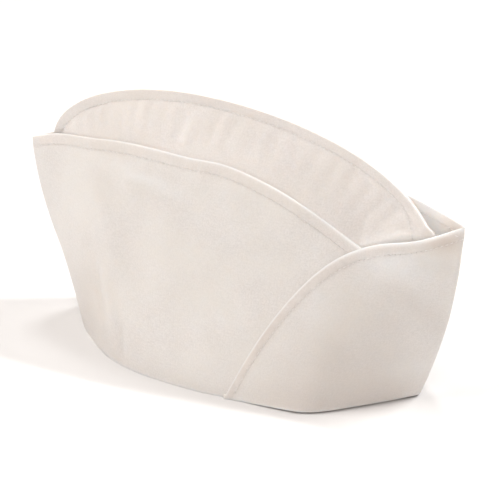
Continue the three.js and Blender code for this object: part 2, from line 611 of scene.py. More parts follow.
@dataclass(frozen=True)
class CottonFinish:
    """Matt woven cotton that lets light through: a fine twill, uneven yarns and faint mottling, with a
    painted highlight and painted shade laid on from mesh attributes.
    """

    name: str
    light: Colour = (0.895, 0.858, 0.83, 1.0)
    dark: Colour = (0.715, 0.68, 0.65, 1.0)
    warm: Colour = (0.835, 0.793, 0.74, 1.0)
    # Near-white colour of the painted highlight.
    highlight_white: Colour = (0.99, 0.99, 0.99, 1.0)
    # Colour of the hem's two layers, also used for painted shade along the stitches and on the flap's hem.
    doubled_and_shaded: Colour = (0.66, 0.615, 0.58, 1.0)
    # Colour of the painted shade.
    painted_shade_colour: Colour = (0.60, 0.545, 0.505, 1.0)
    hem_shade: float = 0.2
    warmth: float = 0.5
    yarn_pitch: float = 0.55 * MM
    yarn_stray: float = 2.0
    twill_lean: float = 0.5
    twill_share: float = 0.65
    weave_depth: float = 0.05 * MM
    slub_size: float = 1.1 * MM
    slub_stretch: float = 3.0
    slub_depth: float = 0.05 * MM
    slub_span: Span = (0.35, 0.65)
    mottle_size: float = 22.0 * MM
    mottle_span: Span = (0.3, 0.7)
    stain_size: float = 37.4 * MM
    stain_scale: Triple = (0.7, 1.3, 1.1)
    stain_span: Span = (0.42, 0.66)
    blotch_size: float = 5.0 * MM
    blotch_span: Span = (0.3, 0.65)
    grain_size: float = 0.9 * MM
    grain_span: Span = (0.3, 0.7)
    shade_shares: Triple = (0.3, 0.3, 0.4)
    roughness: float = 0.92
    sheen: float = 0.1
    light_depth: float = 1.8 * MM
    light_tint: Triple = (1.0, 0.9, 0.82)

    def material(self) -> Material:
        """Makes the material.

        Returns:
            A node material that follows the cloth's UV map, which is in metres.
        """
        graph = ShaderGraph(self.name)
        cloth = graph.add("ShaderNodeUVMap", {"uv_map": "cloth"}, {})
        across = graph.add("ShaderNodeSeparateXYZ", {}, {"Vector": cloth}, "X")
        up = graph.add("ShaderNodeSeparateXYZ", {}, {"Vector": cloth}, "Y")
        place = graph.add("ShaderNodeTexCoord", {}, {}, "Object")
        turn = 2.0 * math.pi / self.yarn_pitch
        long = 1.0 / self.slub_stretch
        weft = graph.noise(graph.stretched(cloth, (long, 1.0, 1.0)), self.slub_size, 2.0)
        warp = graph.noise(graph.stretched(cloth, (1.0, long, 1.0)), self.slub_size, 2.0)
        slubs = weft * 0.5 + warp * 0.5
        mottle = graph.noise(place, self.mottle_size, 4.0)
        stain = graph.noise(graph.stretched(place, self.stain_scale), self.stain_size, 3.0)
        twill = ((across + up * self.twill_lean) * turn + weft * self.yarn_stray).sine() * 0.5 + 0.5
        ribs = (up * turn + warp * self.yarn_stray).sine() * 0.5 + 0.5
        weave = twill * self.twill_share + ribs * (1.0 - self.twill_share)
        raised = weave * self.weave_depth + slubs * self.slub_depth
        grain = graph.noise(cloth, self.grain_size, 2.0)
        mottle_share, slub_share, grain_share = self.shade_shares
        uneven = mottle.spread(*self.mottle_span) * mottle_share + slubs.spread(*self.slub_span) * slub_share
        shade = uneven + grain.spread(*self.grain_span) * grain_share
        plain = graph.mix(shade, self.dark, self.light)
        # Painted highlight, read from its mesh attribute.
        fold = graph.attribute(PAINTED_HIGHLIGHT)
        band = graph.attribute(HEM)
        blotch = graph.noise(place, self.blotch_size, 3.0).spread(*self.blotch_span)
        toned = graph.mix(stain.spread(*self.stain_span) * self.warmth, plain, self.warm)
        # The hem darkens toward its two-layer tone, with painted shade along its stitches and on the flap's
        # rounded hem.
        hemmed = graph.mix(band * (blotch * 0.6 + 0.4) * self.hem_shade, toned, self.doubled_and_shaded)
        # Painted shade: the cloth darkens where that attribute is high.
        painted_shade = graph.attribute(PAINTED_SHADE)
        shaded = graph.mix(painted_shade, hemmed, self.painted_shade_colour)
        # Painted highlight: the cloth turns near white where that attribute is high.
        colour = graph.mix(fold, shaded, self.highlight_white)
        bump = graph.add("ShaderNodeBump", {}, {"Height": raised, "Distance": 1.0}, "Normal")
        return graph.dress({
            "Base Color": colour,
            "Roughness": shade * -0.06 + (self.roughness + 0.03),
            "Normal": bump,
            "Specular IOR Level": 0.2,
            "Sheen Weight": self.sheen,
            "Sheen Roughness": 0.6,
            "Subsurface Weight": 1.0,
            "Subsurface Radius": self.light_tint,
            "Subsurface Scale": self.light_depth,
        })


@dataclass(frozen=True)
class ThreadFinish:
    """Twisted sewing thread, a little brighter than the cloth."""

    name: str
    light: Colour = (0.96, 0.94, 0.92, 1.0)
    dark: Colour = (0.86, 0.83, 0.80, 1.0)
    ply_pitch: float = 0.35 * MM
    ply_depth: float = 0.04 * MM
    roughness: float = 0.7

    def material(self) -> Material:
        """Makes the material.

        Returns:
            A node material with the thread's ply as fine slanting lines.
        """
        graph = ShaderGraph(self.name)
        place = graph.add("ShaderNodeTexCoord", {}, {}, "Object")
        settings = {"wave_type": "BANDS", "bands_direction": "DIAGONAL"}
        inputs = {"Vector": place, "Scale": 1.0 / self.ply_pitch}
        ply = graph.add("ShaderNodeTexWave", settings, inputs, "Fac")
        bump = graph.add("ShaderNodeBump", {}, {"Height": ply, "Distance": self.ply_depth}, "Normal")
        return graph.dress({
            "Base Color": graph.mix(ply, self.dark, self.light),
            "Roughness": self.roughness,
            "Normal": bump,
            "Specular IOR Level": 0.25,
        })


@dataclass(frozen=True)
class FloorFinish:
    """Plain white paper."""

    name: str = "white_paper"
    colour: Colour = (0.81, 0.81, 0.81, 1.0)
    roughness: float = 0.9

    def material(self) -> Material:
        """Makes the material."""
        return ShaderGraph(self.name).dress({
            "Base Color": self.colour,
            "Roughness": self.roughness,
            "Specular IOR Level": 0.1,
        })


class Workbench:
    """Small operations that every piece shares."""

    @staticmethod
    def make(operator: Any, name: str, **settings: Any) -> Thing:
        """Makes an object with an operator.

        Args:
            operator: The operator.
            name: Name of the object and of its data.
            **settings: The operator's own settings.

        Returns:
            The object, which is the only one selected.
        """
        bpy.ops.object.select_all(action="DESELECT")
        operator(**settings)
        made = bpy.context.active_object
        made.name = made.data.name = name
        return made

    @staticmethod
    def activate(piece: Thing) -> None:
        """Makes a piece the only selected and the active one.

        Args:
            piece: The piece.
        """
        bpy.ops.object.select_all(action="DESELECT")
        piece.select_set(True)
        bpy.context.view_layer.objects.active = piece

    @staticmethod
    def apply(piece: Thing, kind: str, **settings: Any) -> None:
        """Adds a modifier and applies it.

        Args:
            piece: The piece that is changed.
            kind: Type name of the modifier.
            **settings: The modifier's own settings.
        """
        Workbench.activate(piece)
        modifier = piece.modifiers.new(kind.title(), kind)
        for name, setting in settings.items():
            setattr(modifier, name, setting)
        bpy.ops.object.modifier_apply(modifier=modifier.name)

    @staticmethod
    def smooth(piece: Thing) -> None:
        """Shades a piece smooth."""
        Workbench.activate(piece)
        bpy.ops.object.shade_smooth()


@dataclass
class Hem:
    """Turned and topstitched edge of a cloth panel."""

    width: float = 6.5 * MM
    edge_thickness: float = 1.35 * MM
    hem_thickness: float = 1.2 * MM
    wall_thickness: float = 1.0 * MM
    pinch: float = 0.08 * MM
    pinch_reach: float = 1.3 * MM
    roll: float = 1.1 * MM
    pucker: float = 0.22 * MM
    pucker_length: float = 6.5 * MM
    pucker_reach: float = 4.5 * MM
    # Painted shade in a soft band along the stitches.
    row_shade: float = 0.5
    row_reach: float = 2.2 * MM
    edge_steps: tuple[float, ...] = (0.0, 0.25 * MM, 0.7 * MM, 1.4 * MM, 2.5 * MM, 3.8 * MM)
    stitch_steps: tuple[float, ...] = (
        -1.4 * MM, -0.7 * MM, -0.3 * MM, 0.0, 0.3 * MM, 0.7 * MM, 1.6 * MM, 3.4 * MM)
    band_span: Span = (-0.6 * MM, 1.2 * MM)
    turn_from: float = 1.2 * MM
    turn_reach: float = 2.0 * MM
    drift_span: Span = (17.0 * MM, 60.0 * MM)
    drift_count: int = 4
    drift_turn: float = 2.2
    fade_turn: float = 1.9
    pucker_share: Span = (0.2, 1.0)

    def rows(self) -> Array:
        """Distances from the edge at which the cloth has rows, the furthest first."""
        stitch = [self.width + step for step in self.stitch_steps]
        return np.array(sorted([*self.edge_steps, *stitch], reverse=True))

    def band(self, distance: Array) -> Array:
        """Darkening of the hem at a distance from the edge, as the tone of its two layers with painted shade
        along its stitches: strongest along its stitches, and 0 past them.
        """
        row = self.row_shade * bell(distance - self.width, self.row_reach)
        return 1.0 - smoothstep(*(self.width + end for end in self.band_span), distance) + row

    def thickness(self, distance: Array) -> Array:
        """Thickness of the cloth.

        Args:
            distance: Distance from the edge.

        Returns:
            The thickness at each point.
        """
        turned = self.width + self.turn_from
        single = smoothstep(turned, turned + self.turn_reach, distance)
        wall = lerp(self.hem_thickness, self.wall_thickness, single)
        edge = (self.edge_thickness - self.hem_thickness) * bell(distance, self.roll)
        return wall + edge - self.pinch * bell(distance - self.width, self.pinch_reach)

    def puckers(self, distance: Array, along: Array, seed: int) -> Array:
        """Height of the small gathers that the stitching pulls up.

        Args:
            distance: Distance from the edge.
            along: Distance along the edge.
            seed: Seed of the gathers' drift.

        Returns:
            The height at each point.
        """
        drift = ClothWaves(seed, 1.0, *self.drift_span, self.drift_count).at(along, 0.0)
        gathers = np.sin(2.0 * math.pi * along / self.pucker_length + drift * self.drift_turn)
        strength = lerp(*self.pucker_share, 0.5 + 0.5 * np.sin(drift * self.fade_turn))
        return self.pucker * gathers * strength * bell(distance - self.width, self.pucker_reach)


@dataclass
class Topstitch:
    """One row of machine stitches, laid on a finished cloth panel."""

    name: str
    pitch: float = 3.0 * MM
    length: float = 2.0 * MM
    thread: float = 0.55 * MM
    sides: int = 6
    reach: float = 6.0 * MM
    cuts: Triple = (-0.6, 0.0, 0.6)
    end_taper: float = 0.45
    rise: float = 0.35
    dive: float = 0.75

    def template(self) -> tuple[Array, list[tuple[int, ...]]]:
        """Models one stitch: a short thread that rises from the cloth and dives back into it.

        Returns:
            Its points, with X along the stitch and Z out of the cloth, and its faces.
        """
        stitch = Workbench.make(
            bpy.ops.mesh.primitive_cylinder_add, "stitch",
            vertices=self.sides, radius=self.thread / 2.0, depth=self.length)
        bpy.ops.object.mode_set(mode="EDIT")
        for share in self.cuts:
            bpy.ops.mesh.select_all(action="SELECT")
            bpy.ops.mesh.bisect(plane_co=(0.0, 0.0, share * self.length / 2.0), plane_no=(0.0, 0.0, 1.0))
        bpy.ops.object.mode_set(mode="OBJECT")
        points = np.array([vertex.co for vertex in stitch.data.vertices])[:, [2, 1, 0]]
        faces = [tuple(reversed(face.vertices)) for face in stitch.data.polygons]
        bpy.data.objects.remove(stitch)
        ends = np.abs(points[:, 0]) / (self.length / 2.0)
        taper = 1.0 - self.end_taper * ends ** 3
        points[:, 1] *= taper
        points[:, 2] = points[:, 2] * taper + self.thread * (self.rise - self.dive * ends ** 2)
        return points, faces

    def lay(self, panel: Thing, path: Array, outward: Array) -> Thing:
        """Lays the row on a panel.

        Args:
            panel: The finished cloth panel.
            path: Points near the cloth's face that the row follows.
            outward: Direction out of the cloth at each of those points.

        Returns:
            The row of stitches as one mesh.
        """
        stitch, faces = self.template()
        tree = BVHTree.FromObject(panel, bpy.context.evaluated_depsgraph_get())
        points, polygons = [], []
        steps = even_path(path, self.pitch / 2.0)
        lengths = path_lengths(path)
        runs = np.linspace(0.0, lengths[-1], len(steps))
        normals = np.stack([np.interp(runs, lengths, column) for column in outward.T], axis=-1)
        for middle in range(1, len(steps) - 1, 2):
            normal = Vector(normals[middle]).normalized()
            start = Vector(steps[middle]) + normal * self.reach
            spot, face_normal, _, _ = tree.ray_cast(start, -normal, 2.0 * self.reach)
            if spot is None:
                continue
            forward = Vector(steps[middle + 1] - steps[middle - 1])
            forward = (forward - face_normal * forward.dot(face_normal)).normalized()
            axes = np.array([forward, face_normal.cross(forward), face_normal])
            first = len(points) * len(stitch)
            points.append(stitch @ axes + np.array(spot))
            polygons.extend(tuple(first + corner for corner in face) for face in faces)
        mesh = bpy.data.meshes.new(self.name)
        mesh.from_pydata(np.concatenate(points).tolist(), [], polygons)
        row = bpy.data.objects.new(self.name, mesh)
        bpy.context.scene.collection.objects.link(row)
        Workbench.smooth(row)
        return row


@dataclass
class Draping:
    """A panel's shape before it gets its thickness, as arrays of rows and columns.

    Attributes:
        points: Places of the middle of the cloth.
        flat: Places on the flat cloth.
        edge_distance: Distance of each point from the sewn or hemmed edge.
        fold: How much painted highlight each point has: near-white colour on folded edges, along the rim, at
            the crown's foot and on patches that catch the light.
        painted_shade: How much painted shade each point has.
        hem: How much each point shows the darker two-layer cloth of a hem, with painted shade along its
            stitches and on the flap's rounded hem.
        painted_pocket_light: Painted light on the side that the grid faces, which lightens the far cuff's
            inside in the front pocket.
    """

    points: Array
    flat: Array
    edge_distance: Array
    fold: Array
    painted_shade: Array
    hem: Array
    painted_pocket_light: Array


@dataclass
class ClothPanel(ABC):
    """One cut piece of cloth with a topstitched edge."""

    slot: ClassVar[Slot]
    form: CapForm
    side: Side
    hem: Hem = field(default_factory=Hem)
    body_rows: int = 28
    low_rows: int = 0
    turn_room: float = 6.0 * MM
    rim_steps: tuple[float, ...] = (0.0, 0.4 * MM, 1.2 * MM, 2.8 * MM)
    low_edge: float = 24.0 * MM
    # Width of the painted highlight along an edge.
    highlight_width: float = 0.9 * MM

    @property
    def node(self) -> str:
        """Name of the solid that this panel stands for."""
        return f"{self.slot.name}_{self.side.name}".lower()

    @property
    def neighbours(self) -> list[str]:
        """Names of the solids that this panel lies on."""
        other = Slot.CUFF if self.slot is Slot.CROWN else Slot.CROWN
        return [f"{other.name}_{side.name}".lower() for side in Side]

    @abstractmethod
    def drape(self) -> Draping:
        """Shapes the panel."""

    @abstractmethod
    def stitch_rows(self, draping: Draping) -> dict[str, tuple[Array, Array]]:
        """Lines of the panel's stitches, and the direction out of the cloth along each, by name."""

    def levels(self, top: Array, turn: Any = 0.0) -> Array:
        """Heights of the cloth's rows: close together at the rim and in the hem, and even between them.

        Args:
            top: Height of the edge at each column.
            turn: Height above which most rows lie, where the cloth below it is hidden.

        Returns:
            Heights in an array of rows and columns.
        """
        squeeze = np.minimum(1.0, top / self.low_edge)
        rim = np.array(self.rim_steps)[:, None] * squeeze
        edge = top - self.hem.rows()[:, None] * squeeze
        turn = np.clip(turn, rim[-1], edge[0] - self.turn_room * squeeze)
        low = np.linspace(0.0, 1.0, self.low_rows + 1)[1:, None]
        high = np.linspace(0.0, 1.0, self.body_rows + 2)[1:-1, None]
        return np.concatenate([rim, lerp(rim[-1], turn, low), lerp(turn, edge[0], high), edge])

    def cut(self, draping: Draping) -> Thing:
        """Makes the panel's mesh: a flat grid that is shaped, thickened and rounded at its edges.

        Args:
            draping: The panel's shape.

        Returns:
            The finished cloth.
        """
        rows, columns = draping.edge_distance.shape
        panel = Workbench.make(
            bpy.ops.mesh.primitive_grid_add, f"{self.node}_panel",
            x_subdivisions=columns - 1, y_subdivisions=rows - 1, size=1.0)
        mesh = panel.data
        mesh.vertices.foreach_set("co", draping.points.reshape(-1))
        corners = np.empty(len(mesh.loops), dtype=np.int32)
        mesh.loops.foreach_get("vertex_index", corners)
        layer = mesh.uv_layers.active
        layer.name = "cloth"
        layer.data.foreach_set("uv", draping.flat.reshape(-1, 2)[corners].reshape(-1))
        # Stores the painted highlight, the hem's darkening and the painted shade as mesh attributes.
        for name, values in ((PAINTED_HIGHLIGHT, draping.fold), (HEM, draping.hem), (PAINTED_SHADE, draping.painted_shade)):
            attribute = mesh.attributes.new(name, "FLOAT", "POINT")
            attribute.data.foreach_set("value", values.reshape(-1))
        thickness = self.hem.thickness(draping.edge_distance).reshape(-1)
        group = panel.vertex_groups.new(name="thickness")
        for index, share in enumerate(thickness / thickness.max()):
            group.add([index], float(share), "REPLACE")
        Workbench.apply(panel, "SOLIDIFY", thickness=thickness.max(), offset=0.0, vertex_group=group.name)
        # The painted pocket light goes only on the face that the grid faces; the painted highlight goes on
        # both faces.
        highlight_by_face = np.stack([draping.fold + draping.painted_pocket_light, draping.fold]).reshape(-1)
        panel.data.attributes[PAINTED_HIGHLIGHT].data.foreach_set("value", highlight_by_face)
        Workbench.apply(panel, "SUBSURF", levels=1, render_levels=1)
        panel.vertex_groups.clear()
        Workbench.smooth(panel)
        return panel

    def build(self, finish: Material, thread: Material) -> list[Thing]:
        """Builds the panel and its stitches.

        Args:
            finish: Cloth material.
            thread: Thread material.

        Returns:
            The panel and its rows of stitches.
        """
        draping = self.drape()
        panel = self.cut(draping)
        panel.data.materials.append(finish)
        rows = [
            Topstitch(f"{self.node}_{name}").lay(panel, path, outward)
            for name, (path, outward) in self.stitch_rows(draping).items()
        ]
        for row in rows:
            row.data.materials.append(thread)
        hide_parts(self.node)
        for piece in (panel, *rows):
            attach(piece, BODY)
        width, length = np.ptp(draping.flat[..., 1]), np.ptp(draping.flat[..., 0])
        area = min(sheet_area(draping.points), width * length)
        return [panel, *rows]


@dataclass
class CrownPanel(ClothPanel):
    """One half-moon panel of the crown, with the topstitched margin of its seam."""

    slot: ClassVar[Slot] = Slot.CROWN
    ridge_points: int = 500
    pucker_seed: int = 11
    columns: int = 150
    body_rows: int = 30
    low_rows: int = 12
    hem: Hem = field(default_factory=lambda: Hem(
        width=6.0 * MM, edge_thickness=0.95 * MM, hem_thickness=1.0 * MM, wall_thickness=0.9 * MM,
        pucker=0.2 * MM, pucker_length=8.0 * MM, pucker_reach=6.0 * MM))
    waves: ClothWaves = ClothWaves(3, 0.35 * MM, 28.0 * MM, 80.0 * MM)
    seam_gap: float = 0.04 * MM
    clearance: float = 1.25 * MM
    bow: Span = (0.72, 1.25)
    bow_span: Span = (0.0, 105.0 * MM)
    tuck: float = 5.0 * MM
    tuck_span: Span = (15.0 * MM, 60.0 * MM)
    free_span: Span = (-2.0 * MM, 9.0 * MM)
    edge_probe: float = 0.75
    turn_drop: float = 5.0 * MM
    seam_room: float = 2.0 * MM
    swell: float = 0.35 * MM
    swell_rise: float = 0.5 * MM
    swell_reach: float = 7.0 * MM
    swell_fade: float = 6.0 * MM
    lean: float = 7.0 * MM
    lean_span: Span = (92.0 * MM, 114.0 * MM)
    lean_height: float = 18.0 * MM
    lean_power: float = 1.2
    lean_rise: Span = (40.0 * MM, 90.0 * MM)
    lean_room: float = 1.2 * MM
    # Painted highlight along the crown's front-end edge, and painted light along its foot on the cuff's edge
    # that lifts the shade there.
    bright_edge: Span = (78.0 * MM, 96.0 * MM)
    edge_light: float = 0.35
    foot_light: float = 0.25
    foot_reach: float = 4.0 * MM
    # The crown's darker hem margin, with its painted shade, fades toward the back end.
    margin_span: Span = (-115.0 * MM, -50.0 * MM)
    back_margin: float = 0.35
    gather: float = 0.7 * MM
    gather_length: float = 13.0 * MM
    gather_fade: float = 16.0 * MM
    gather_rise: float = 5.0 * MM
    drift: float = 1.7
    drift_length: float = 31.0 * MM
    wave_rise: float = 12.0 * MM
    dent_rise: float = 4.0 * MM
    foot_span: Span = (10.0 * MM, 45.0 * MM)
    stitch_foot: float = 30.0 * MM
    stitch_side: float = 3.0 * MM
    dents: tuple[Dent, ...] = CROWN_FOLDS
    # Patches of painted shade.
    painted_shade: tuple[Dent, ...] = CROWN_SHADE_MARKS

    def outline(self) -> Array:
        """Dense outline of the panel's ends and ridge.

        Returns:
            Points as X and Z.
        """
        ridge = self.form.ridge(np.linspace(0.0, 1.0, self.ridge_points))
        back, front = ([[end, 0.0]] for end in (self.form.rim_back, self.form.rim_front))
        return even_path(np.concatenate([back, ridge, front]), PATH_STEP)

    def drape(self) -> Draping:
        """Shapes the panel.

        Returns:
            The panel's points and marks.
        """
        form = self.form
        share = np.linspace(0.0, 1.0, self.columns)
        top_x, top_z = form.ridge(share).T
        level = (top_x - form.ridge_back[0]) / (form.ridge_front[0] - form.ridge_back[0])
        place = form.crown_end_place * (2.0 * lerp(level, share, form.crown_lean) - 1.0)
        back, front, half_width, power = form.section(0.0, -form.lap_gap - form.cloth / 2.0)
        foot = lerp(back, front, (place + 1.0) / 2.0)
        width = half_width * (1.0 - np.abs(place) ** power)
        edge, _ = form.pocket(self.side, lerp(foot, top_x, self.edge_probe), self.edge_probe * top_z)
        z = self.levels(top_z, edge - self.turn_drop)
        climb = z / top_z
        x = lerp(foot, top_x, climb)
        distance, run = distance_to_path(np.stack([x, z], axis=-1), self.outline())
        seam = self.hem.thickness(distance) / 2.0 + self.seam_gap
        sewn = np.minimum(1.0, climb / (1.0 - form.ridge_margin / top_z))
        full = lerp(width, 0.0, sewn ** form.crown_power) + form.bulge(place, z)
        edge, wall = form.pocket(self.side, x, z)
        full = np.maximum(full, self.leaning(x, z, edge, wall, top_z - form.ridge_margin))
        tucked = 1.0 - np.exp(-np.maximum(0.0, distance - self.hem.width) / self.tuck)
        full = full * lerp(1.0, tucked, smoothstep(*self.tuck_span, z))
        soft = self.softness(distance, run, x, z) * smoothstep(*self.free_span, z - edge)
        soft = soft + self.overhanging(z - edge, distance - self.hem.width)
        # Painted highlight along the front end's edge and painted light along the foot on the cuff's edge,
        # only toward the front.
        bright = smoothstep(*self.bright_edge, x)
        fold = self.edge_light * bell(distance, self.highlight_width) * bright
        fold = np.maximum(fold, self.foot_light * bell(z - edge, self.foot_reach) * bright)
        lean, forward = self.end_lean(x, z)
        _, room = form.pocket(self.side, forward, z)
        room = np.maximum(0.0, room - self.clearance + self.side.value * lean)
        full = np.minimum(full + soft, room + self.swell)
        y = self.side.value * (seam + np.maximum(0.0, full)) - lean
        points = np.stack([forward + form.shift, y, z], axis=-1)
        margin = self.hem.band(distance) * lerp(self.back_margin, 1.0, smoothstep(*self.margin_span, x))
        # Painted shade patches.
        painted_shade = depth_at(self.painted_shade, x, z)
        return Draping(points, np.stack([x, z], axis=-1), distance, fold, painted_shade, margin, np.zeros_like(z))

    def leaning(self, x: Array, z: Array, edge: Array, wall: Array, seam_height: Array) -> Array:
        """Half width of the soft crown where it leans on the cuff, and from the cuff's edge to the seam.

        Args:
            x: Place along the panel.
            z: Height.
            edge: Height of the cuff's edge.
            wall: Half width between the cuffs.
            seam_height: Height of the ridge's stitches.

        Returns:
            The half width, less half the seam's own thickness.
        """
        turn = np.minimum(edge, seam_height - self.seam_room)
        above = np.clip((seam_height - z) / (seam_height - turn), 0.0, 1.0)
        power = lerp(*self.bow, smoothstep(*self.bow_span, x))
        return np.maximum(0.0, wall - self.clearance) * above ** power

    def overhanging(self, above: Array, inside: Array) -> Array:
        """Swell of the crown over the cuff's edge, from heights above it and distances inside the seam."""
        fade = smoothstep(0.0, self.swell_fade, inside)
        return self.swell * bell(above - self.swell_rise, self.swell_reach) * fade

    def end_lean(self, x: Array, z: Array) -> tuple[Array, Array]:
        """Lean of the crown's front end, which is pushed forward and rests on the flap.

        Args:
            x: Place along the panel.
            z: Height.

        Returns:
            How far the cloth moves to the right, and its new place along the cap.
        """
        edge, _ = self.form.pocket(Side.RIGHT, x, z)
        fade = np.clip(1.0 - (z - edge) / self.lean_height, 0.0, 1.0) ** self.lean_power
        lean = self.lean * smoothstep(*self.lean_span, x) * fade * smoothstep(*self.lean_rise, z)
        forward = x + lean
        _, room = self.form.pocket(Side.RIGHT, forward, z)
        return np.minimum(lean, np.maximum(0.0, room - self.lean_room)), forward

    def softness(self, distance: Array, run: Array, x: Array, z: Array) -> Array:
        """Sideways dents, waves and gathers of the soft cloth, which fade out at the rim.

        Args:
            distance: Distance from the sewn edge.
            run: Distance along that edge.
            x: Place along the panel.
            z: Height.

        Returns:
            How far the cloth moves outward.
        """
        inside = np.maximum(0.0, distance - self.hem.width)
        drift = self.drift * np.sin(run / self.drift_length)
        gathers = self.gather * np.sin(2.0 * math.pi * run / self.gather_length + drift)
        gathers = gathers * np.exp(-inside / self.gather_fade) * smoothstep(0.0, self.gather_rise, inside)
        waves = self.waves.at(x, z) * smoothstep(0.0, self.wave_rise, inside)
        dents = depth_at(self.dents, x, z) * smoothstep(0.0, self.dent_rise, inside)
        puckers = self.hem.puckers(distance, run, self.pucker_seed)
        return (gathers + waves + dents + puckers) * smoothstep(*self.foot_span, z)

    def stitch_rows(self, draping: Draping) -> dict[str, tuple[Array, Array]]:
        """Line of the margin's stitches.

        Args:
            draping: The panel's shape.

        Returns:
            The row's line and the direction out of the cloth along it, by name.
        """
        outline = self.outline()
        line = outline + inward_of(outline) * self.hem.width
        line = line[line[:, 1] > self.stitch_foot]
        outward = np.tile([0.0, float(self.side.value), 0.0], (len(line), 1))
        flat = np.stack([line[:, 0] + self.form.shift, np.zeros(len(line)), line[:, 1]], axis=-1)
        return {"stitches": (flat + outward * self.stitch_side, outward)}


@dataclass
class CuffColumns:
    """Columns of a cuff: their sides, places, edge heights, offsets and lifted feet."""

    side: Array
    place: Array
    height: Array
    offset: Array
    lift: Array


@dataclass
class Cuff(ClothPanel):
    """One turned-up cuff piece with a hemmed and topstitched top edge."""

    slot: ClassVar[Slot] = Slot.CUFF
    pucker_seed: int = 5
    side_columns: int = 150
    flap_columns: int = 84
    front_lift: float = 1.2 * MM
    roll: float = 0.5 * MM
    roll_height: float = 3.0 * MM
    sway: float = 0.5 * MM
    sway_reach: float = 26.0 * MM
    swing_length: float = 17.0 * MM
    drift: float = 1.3
    drift_length: float = 39.0 * MM
    steady_rise: float = 25.0 * MM
    crease_power: int = 6
    pucker_span: Span = (4.0 * MM, 14.0 * MM)
    dent_rise: float = 6.0 * MM
    stitch_ends: Span = (1.0 * MM, 2.0 * MM)
    stitch_room: float = 0.97
    waves: ClothWaves = ClothWaves(8, 0.35 * MM, 35.0 * MM, 110.0 * MM)
    edge_waves: ClothWaves = ClothWaves(21, 0.3 * MM, 22.0 * MM, 70.0 * MM, 5)
    edge_wave_rise: float = 30.0 * MM
    flap_crowding: float = 1.6
    lift_start: float = 0.5
    flap_lift: Span = (1.0, 0.55)
    corner_reach: float = 2.0 * MM
    corner_powers: tuple[int, int] = (24, 4)
    # Painted highlight along the top edge: weaker low down, at the back and away from the near side's front,
    # wider at that front, and a painted light line along the rim.
    low_light: float = 0.75
    low_span: Span = (15.0 * MM, 85.0 * MM)
    back_light: float = 0.4
    back_span: Span = (-95.0 * MM, -45.0 * MM)
    side_light: float = 0.85
    front_width: float = 1.8
    front_span: Span = (60.0 * MM, 95.0 * MM)
    rim_light: float = 0.5
    # Painted light on the far cuff's inside in the front pocket, which lifts the shade of that narrow gap.
    pocket_light: float = 0.75
    pocket_start: Span = (0.72, 0.84)
    pocket_end: Span = (0.96, 0.86)
    pocket_rise: Span = (80.0 * MM, 92.0 * MM)
    # Painted shade: the hem of the flap's rounded edge is darkened more.
    flap_shade: float = 2.6
    flap_top: Span = (95.0 * MM, 75.0 * MM)
    dents: tuple[Dent, ...] = ()
    # Patches of painted shade on the near side.
    painted_shade: tuple[Dent, ...] = ()
    # Patches of painted highlight on the near side.
    painted_highlight_marks: tuple[Dent, ...] = ()

    def strip(self) -> CuffColumns:
        """Lays out the columns of this cuff.

        Returns:
            The columns, from the back crease on.
        """
        form = self.form
        if self.side is Side.RIGHT:
            place = np.linspace(-1.0, form.right_cuff_end, self.side_columns)
            zeros = np.zeros_like(place)
            height = form.cuff_edge(place, form.right_front_fall)
            return CuffColumns(zeros - 1.0, place, height, zeros, zeros)
        place = np.linspace(-1.0, 1.0, self.side_columns)[:-1]
        left = 1.0 - np.linspace(0.0, 1.0, self.flap_columns)
        past = form.flap_reach * (1.0 - left ** self.flap_crowding)
        return CuffColumns(
            side=np.concatenate([np.ones_like(place), -np.ones_like(past)]),
            place=np.concatenate([place, 1.0 - past]),
            height=np.concatenate([form.cuff_edge(place, form.left_front_fall), form.flap_edge(past)]),
            offset=form.lap * np.concatenate([smoothstep(form.lap_start, 1.0, place), np.ones_like(past)]),
            lift=self.front_lift * np.concatenate([
                smoothstep(self.lift_start, 1.0, place),
                smoothstep(*self.flap_lift, past / form.flap_reach)]),
        )

    def outward(self, points: Array) -> Array:
        """Directions out of the cap at the cuff's points."""
        return -self.side.value * grid_normals(points)

    def drape(self) -> Draping:
        """Shapes the cuff.

        Returns:
            The cuff's points and marks.
        """
        form = self.form
        strip = self.strip()
        middle = strip.offset + form.cloth / 2.0
        along = path_lengths(form.wall(strip.side, strip.place, strip.height * 0.5, middle))
        rise = smoothstep(0.0, self.edge_wave_rise, strip.height)
        edge = strip.height + self.edge_waves.at(along, 0.0) * rise
        z = self.levels(edge)
        points = form.wall(strip.side, strip.place, z, middle)
        flat = np.stack([np.broadcast_to(along, z.shape), z], axis=-1)
        distance, run = distance_to_path(flat, self.edge_line(flat))
        soft = self.softness(strip, points[..., 0], z, distance, run)
        foot = self.roll * np.maximum(0.0, 1.0 - z / self.roll_height) ** 2
        points = points + self.outward(points) * (soft - foot)[..., None]
        sharp, high = self.corner_powers
        corner = np.maximum(0.0, strip.place) ** sharp * (z / form.corner_height) ** high
        points[..., 0] += self.corner_reach * corner
        points[..., 2] = z + strip.lift * np.maximum(0.0, 1.0 - z / edge) ** 2
        near = (strip.side < 0.0) * np.ones_like(z)
        along_cap = points[..., 0] - form.shift
        # Painted shade patches, on the near side only.
        painted_shade = near * depth_at(self.painted_shade, along_cap, z)
        # Painted highlight patches, on the near side only.
        painted_highlight_marks = near * depth_at(self.painted_highlight_marks, along_cap, z)
